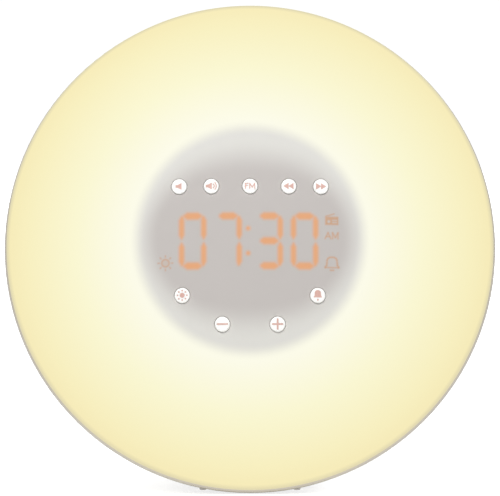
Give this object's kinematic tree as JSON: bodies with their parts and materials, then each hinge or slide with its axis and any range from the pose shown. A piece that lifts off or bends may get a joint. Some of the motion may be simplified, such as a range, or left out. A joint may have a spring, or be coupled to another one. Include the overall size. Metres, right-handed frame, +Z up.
{
  "type": "sunrise alarm clock",
  "caption": "Round leaning lamp clock: opal dome front with keys and figures shining through, white housing tapering back to a round speaker grille, low-voltage socket behind.",
  "frame": {"origin": "under the middle of the body, on the table", "axes": "+Z up, the face looks along -Y and leans back, +X to the right as seen by the user"},
  "size_m": [0.193, 0.1156, 0.1906],
  "materials": {
    "housing_white": "satin",
    "diffuser_opal": "satin",
    "foam_grey": "matte",
    "foam_black": "matte",
    "carrier_grey": "matte",
    "board_green": "satin",
    "board_white": "satin",
    "switch_black": "matte",
    "module_black": "matte",
    "segment_amber": "gloss",
    "reflector_white": "satin",
    "led_yellow": "gloss",
    "screw_steel": "zinc plated",
    "foot_rubber": "matte",
    "grille_white": "satin",
    "basket_steel": "satin",
    "plate_zinc": "zinc plated",
    "magnet_ferrite": "matte",
    "coil_copper": "lacquered wire",
    "spider_cloth": "resin stiffened",
    "cone_paper": "matte",
    "surround_rubber": "matte",
    "chip_black": "matte",
    "shield_tin": "tinned",
    "capacitor_can": "satin",
    "pin_nickel": "bright nickel",
    "gland_rubber": "matte",
    "socket_white": "matte",
    "ribbon_grey": "satin",
    "wire_red": "satin",
    "wire_black": "satin",
    "key_white": "satin",
    "plunger_white": "matte"
  },
  "bodies": {
    "clock": {"rear_housing": "housing_white", "diffuser": "diffuser_opal", "light_seal": "foam_grey", "display_carrier": "carrier_grey", "display_board": "board_green", "tact_switches": "switch_black", "display_module": "module_black", "display_segments": "segment_amber", "reflector": "reflector_white", "led_board": "board_white", "leds": "led_yellow", "small_screws": "screw_steel", "housing_screws": "screw_steel", "front_feet": "foot_rubber", "rear_foot": "foot_rubber", "speaker_grille": "grille_white", "speaker_gasket": "foam_black", "speaker_basket": "basket_steel", "speaker_plate": "plate_zinc", "speaker_magnet": "magnet_ferrite", "speaker_yoke": "plate_zinc", "voice_coil": "coil_copper", "speaker_spider": "spider_cloth", "speaker_cone": "cone_paper", "speaker_surround": "surround_rubber", "speaker_cap": "cone_paper", "main_board": "board_green", "processor": "chip_black", "radio_module": "shield_tin", "amplifier": "chip_black", "capacitors": "capacitor_can", "backup_capacitor": "capacitor_can", "dc_jack": "switch_black", "jack_pin": "pin_nickel", "aerial_gland": "gland_rubber", "ribbon_sockets": "socket_white", "lead_sockets": "socket_white", "display_ribbon": "ribbon_grey", "led_lead": "wire_red", "speaker_lead": "wire_black"},
    "volume_down_key": {"key_volume_down": "key_white", "plunger_volume_down": "plunger_white"},
    "volume_up_key": {"key_volume_up": "key_white", "plunger_volume_up": "plunger_white"},
    "radio_key": {"key_radio": "key_white", "plunger_radio": "plunger_white"},
    "previous_key": {"key_previous": "key_white", "plunger_previous": "plunger_white"},
    "next_key": {"key_next": "key_white", "plunger_next": "plunger_white"},
    "light_key": {"key_light": "key_white", "plunger_light": "plunger_white"},
    "alarm_key": {"key_alarm": "key_white", "plunger_alarm": "plunger_white"},
    "minus_key": {"key_minus": "key_white", "plunger_minus": "plunger_white"},
    "plus_key": {"key_plus": "key_white", "plunger_plus": "plunger_white"}
  },
  "joints": [
    {"name": "volume_down_press", "type": "slide", "parent": "clock", "child": "volume_down_key", "axis": [0, 0.9826, -0.1857], "range_m": [0, 0.0005], "stiffness_N_per_m": 3000},
    {"name": "volume_up_press", "type": "slide", "parent": "clock", "child": "volume_up_key", "axis": [0, 0.9826, -0.1857], "range_m": [0, 0.0005], "stiffness_N_per_m": 3000},
    {"name": "radio_press", "type": "slide", "parent": "clock", "child": "radio_key", "axis": [0, 0.9826, -0.1857], "range_m": [0, 0.0005], "stiffness_N_per_m": 3000},
    {"name": "previous_press", "type": "slide", "parent": "clock", "child": "previous_key", "axis": [0, 0.9826, -0.1857], "range_m": [0, 0.0005], "stiffness_N_per_m": 3000},
    {"name": "next_press", "type": "slide", "parent": "clock", "child": "next_key", "axis": [0, 0.9826, -0.1857], "range_m": [0, 0.0005], "stiffness_N_per_m": 3000},
    {"name": "light_press", "type": "slide", "parent": "clock", "child": "light_key", "axis": [0, 0.9826, -0.1857], "range_m": [0, 0.0005], "stiffness_N_per_m": 3000},
    {"name": "alarm_press", "type": "slide", "parent": "clock", "child": "alarm_key", "axis": [0, 0.9826, -0.1857], "range_m": [0, 0.0005], "stiffness_N_per_m": 3000},
    {"name": "minus_press", "type": "slide", "parent": "clock", "child": "minus_key", "axis": [0, 0.9826, -0.1857], "range_m": [0, 0.0005], "stiffness_N_per_m": 3000},
    {"name": "plus_press", "type": "slide", "parent": "clock", "child": "plus_key", "axis": [0, 0.9826, -0.1857], "range_m": [0, 0.0005], "stiffness_N_per_m": 3000}
  ]
}
